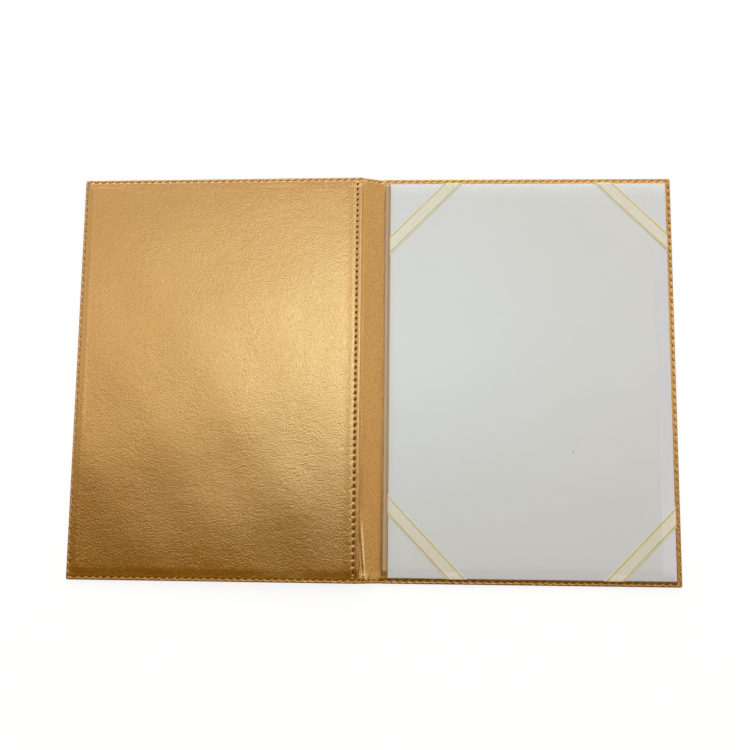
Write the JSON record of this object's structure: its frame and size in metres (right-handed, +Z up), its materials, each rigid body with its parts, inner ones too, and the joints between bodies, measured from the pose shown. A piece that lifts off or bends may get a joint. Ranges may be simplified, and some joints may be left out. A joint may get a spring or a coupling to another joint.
{
  "type": "certificate holder",
  "caption": "Open A4 certificate holder of gold leatherette: two board covers on a soft spine, a hemmed pocket, and a white card with corner ribbons under a clear film.",
  "frame": {"origin": "middle of the open holder's bounding box, on the surface that it lies on", "axes": "+X from the left cover to the right cover, +Y up the page, +Z up out of the inner faces"},
  "size_m": [0.4568, 0.31, 0.0109],
  "materials": {
    "outer_leatherette": "grained metallic gold polyurethane leatherette",
    "inner_leatherette": "fine-grained metallic gold polyurethane leatherette",
    "greyboard": "matt grey board",
    "white_card": "smooth matt white card",
    "satin_ribbon": "cream satin with a gold line along each edge",
    "clear_film": "clear glossy film",
    "gold_thread": "glossy gold sewing thread",
    "fine_thread": "fine reddish-brown sewing thread"
  },
  "bodies": {
    "right_cover": {"right_outer_skin": "outer_leatherette", "right_board": "greyboard", "right_lining": "inner_leatherette", "certificate_card": "white_card", "protective_film": "clear_film", "film_seam": "fine_thread", "right_rim_seam": "gold_thread", "ribbon_top_left": "satin_ribbon", "ribbon_top_right": "satin_ribbon", "ribbon_bottom_right": "satin_ribbon", "ribbon_bottom_left": "satin_ribbon"},
    "spine": {"spine_outer_skin": "outer_leatherette", "spine_lining": "inner_leatherette", "spine_top_seam": "gold_thread", "spine_bottom_seam": "gold_thread"},
    "left_cover": {"left_outer_skin": "outer_leatherette", "left_board": "greyboard", "left_pocket_panel": "inner_leatherette", "pocket_hem_seam": "fine_thread", "left_rim_seam": "gold_thread"}
  },
  "joints": [
    {"name": "right_fold", "type": "hinge", "parent": "right_cover", "child": "spine", "pos_m": [0.00689, 0, 0.0009], "axis": [0, 1, 0], "range_deg": [0, 67.26]},
    {"name": "left_fold", "type": "hinge", "parent": "spine", "child": "left_cover", "pos_m": [-0.00694, 0, 0.0067], "axis": [0, 1, 0], "range_deg": [0, 114.24]}
  ]
}
